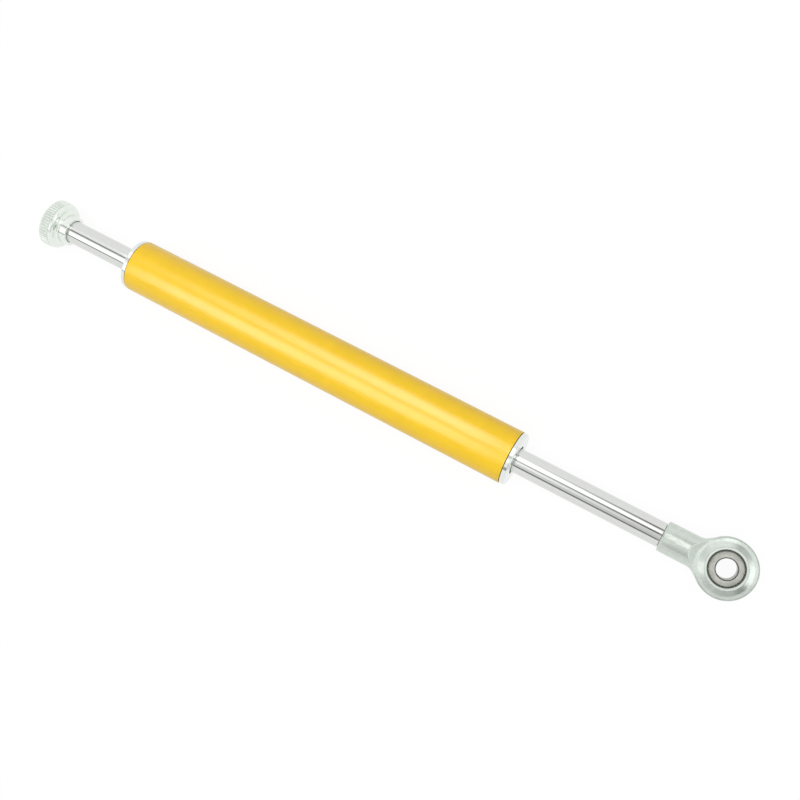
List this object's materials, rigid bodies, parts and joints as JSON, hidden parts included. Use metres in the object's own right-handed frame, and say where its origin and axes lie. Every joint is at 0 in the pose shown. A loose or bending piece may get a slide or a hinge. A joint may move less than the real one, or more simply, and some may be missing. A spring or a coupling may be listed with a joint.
{
  "type": "steering damper",
  "caption": "Through-rod hydraulic steering damper with a gold tube, chromed rod, knurled click-adjuster knob and a spherical rod end; clamps to a motorcycle frame and damps its fork.",
  "frame": {"origin": "centre of the cylinder tube, on its axis, where its clamp is centred", "axes": "+X along the rod towards the rod end, +Z along the bolt hole of the rod end"},
  "size_m": [0.3322, 0.0238, 0.0224],
  "materials": {
    "gold_anodised": "satin gold anodised",
    "polished_aluminium": "polished",
    "hard_chrome": "ground and hard chromed",
    "zinc_plate": "clear zinc plated, pale greenish white",
    "bearing_steel": "ground bearing steel",
    "bronze": "turned bronze",
    "ptfe": "filled PTFE",
    "black_rubber": "matt nitrile rubber",
    "spring_steel": "spring steel"
  },
  "bodies": {
    "barrel": {"cylinder_tube": "gold_anodised", "knob_side_cap": "polished_aluminium", "knob_side_cap_ring": "black_rubber", "knob_side_wiper": "black_rubber", "knob_side_rod_seal": "black_rubber", "knob_side_bush": "bronze", "knob_side_bush_clip": "spring_steel", "eye_side_cap": "polished_aluminium", "eye_side_cap_ring": "black_rubber", "eye_side_wiper": "black_rubber", "eye_side_rod_seal": "black_rubber", "eye_side_bush": "bronze", "eye_side_bush_clip": "spring_steel"},
    "piston": {"piston": "bronze", "piston_band": "ptfe", "piston_band_ring": "black_rubber", "piston_bore_ring": "black_rubber"},
    "rod": {"piston_rod": "hard_chrome", "piston_clip_knob_side": "spring_steel", "piston_clip_eye_side": "spring_steel", "rod_end_body": "zinc_plate", "rod_end_race": "bearing_steel", "spindle_clip": "spring_steel"},
    "knob": {"adjuster_knob": "zinc_plate", "adjuster_spindle": "bronze", "spindle_ring": "black_rubber", "knob_screw": "spring_steel", "detent_spring": "spring_steel"},
    "detent": {"detent_ball": "bearing_steel"},
    "ball": {"rod_end_ball": "bearing_steel"}
  },
  "joints": [
    {"name": "rod_slide", "type": "slide", "parent": "barrel", "child": "piston", "axis": [1, 0, 0], "range_m": [-0.0623, 0.0334]},
    {"name": "rod_spin", "type": "hinge", "parent": "piston", "child": "rod", "pos_m": [0, 0, 0], "axis": [1, 0, 0], "continuous": true},
    {"name": "knob_click", "type": "hinge", "parent": "rod", "child": "knob", "pos_m": [0, 0, 0], "axis": [1, 0, 0], "range_deg": [0, 300]},
    {"name": "detent_drop", "type": "slide", "parent": "knob", "child": "detent", "axis": [1, 0, 0], "range_m": [0, 0.00035], "stiffness_N_per_m": 400, "springref_m": 0.0015, "deforming": ["detent_spring"]},
    {"name": "ball_tilt", "type": "hinge", "parent": "rod", "child": "ball", "pos_m": [0.1817, 0, 0], "axis": [0, 1, 0], "range_deg": [-13, 13]}
  ]
}
